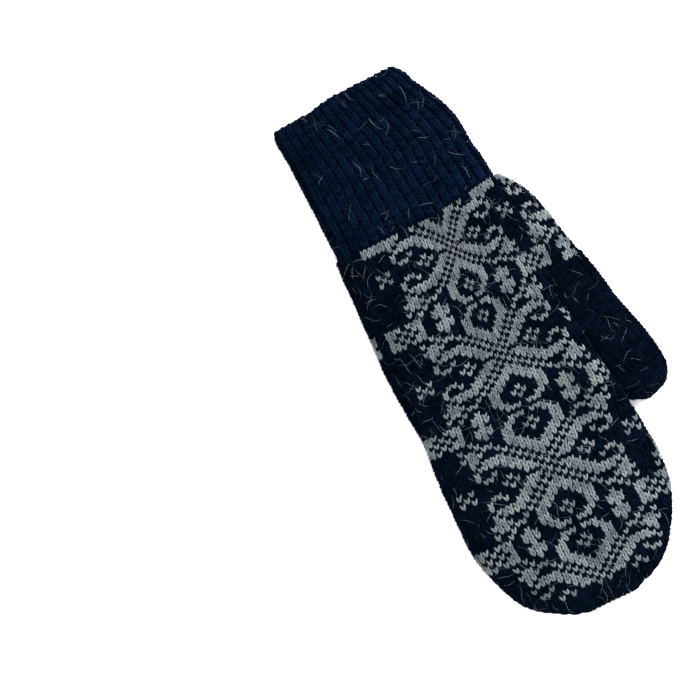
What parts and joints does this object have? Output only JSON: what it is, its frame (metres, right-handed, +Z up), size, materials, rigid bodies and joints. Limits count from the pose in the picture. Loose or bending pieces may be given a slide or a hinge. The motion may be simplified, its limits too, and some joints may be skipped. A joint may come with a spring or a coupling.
{
  "type": "mitten",
  "caption": "Knitted wool mitten for the right hand, lying palm down: ribbed cuff, patterned hand with a thumb gusset, plain thumb, hollow and open at the wrist.",
  "frame": {"origin": "under the middle of the mitten, on the surface that it lies on", "axes": "+Y from the wrist opening to the fingertips, +Z up through the back of the hand, the thumb on the -X side"},
  "size_m": [0.1242, 0.2744, 0.0195],
  "materials": {
    "navy_wool": "matt knitted wool with fine fuzz",
    "patterned_wool": "matt stranded knitting in navy and light grey wool with fine fuzz"
  },
  "bodies": {
    "root": {"ribbed_cuff": "navy_wool", "hand": "patterned_wool", "thumb": "navy_wool"}
  },
  "joints": []
}
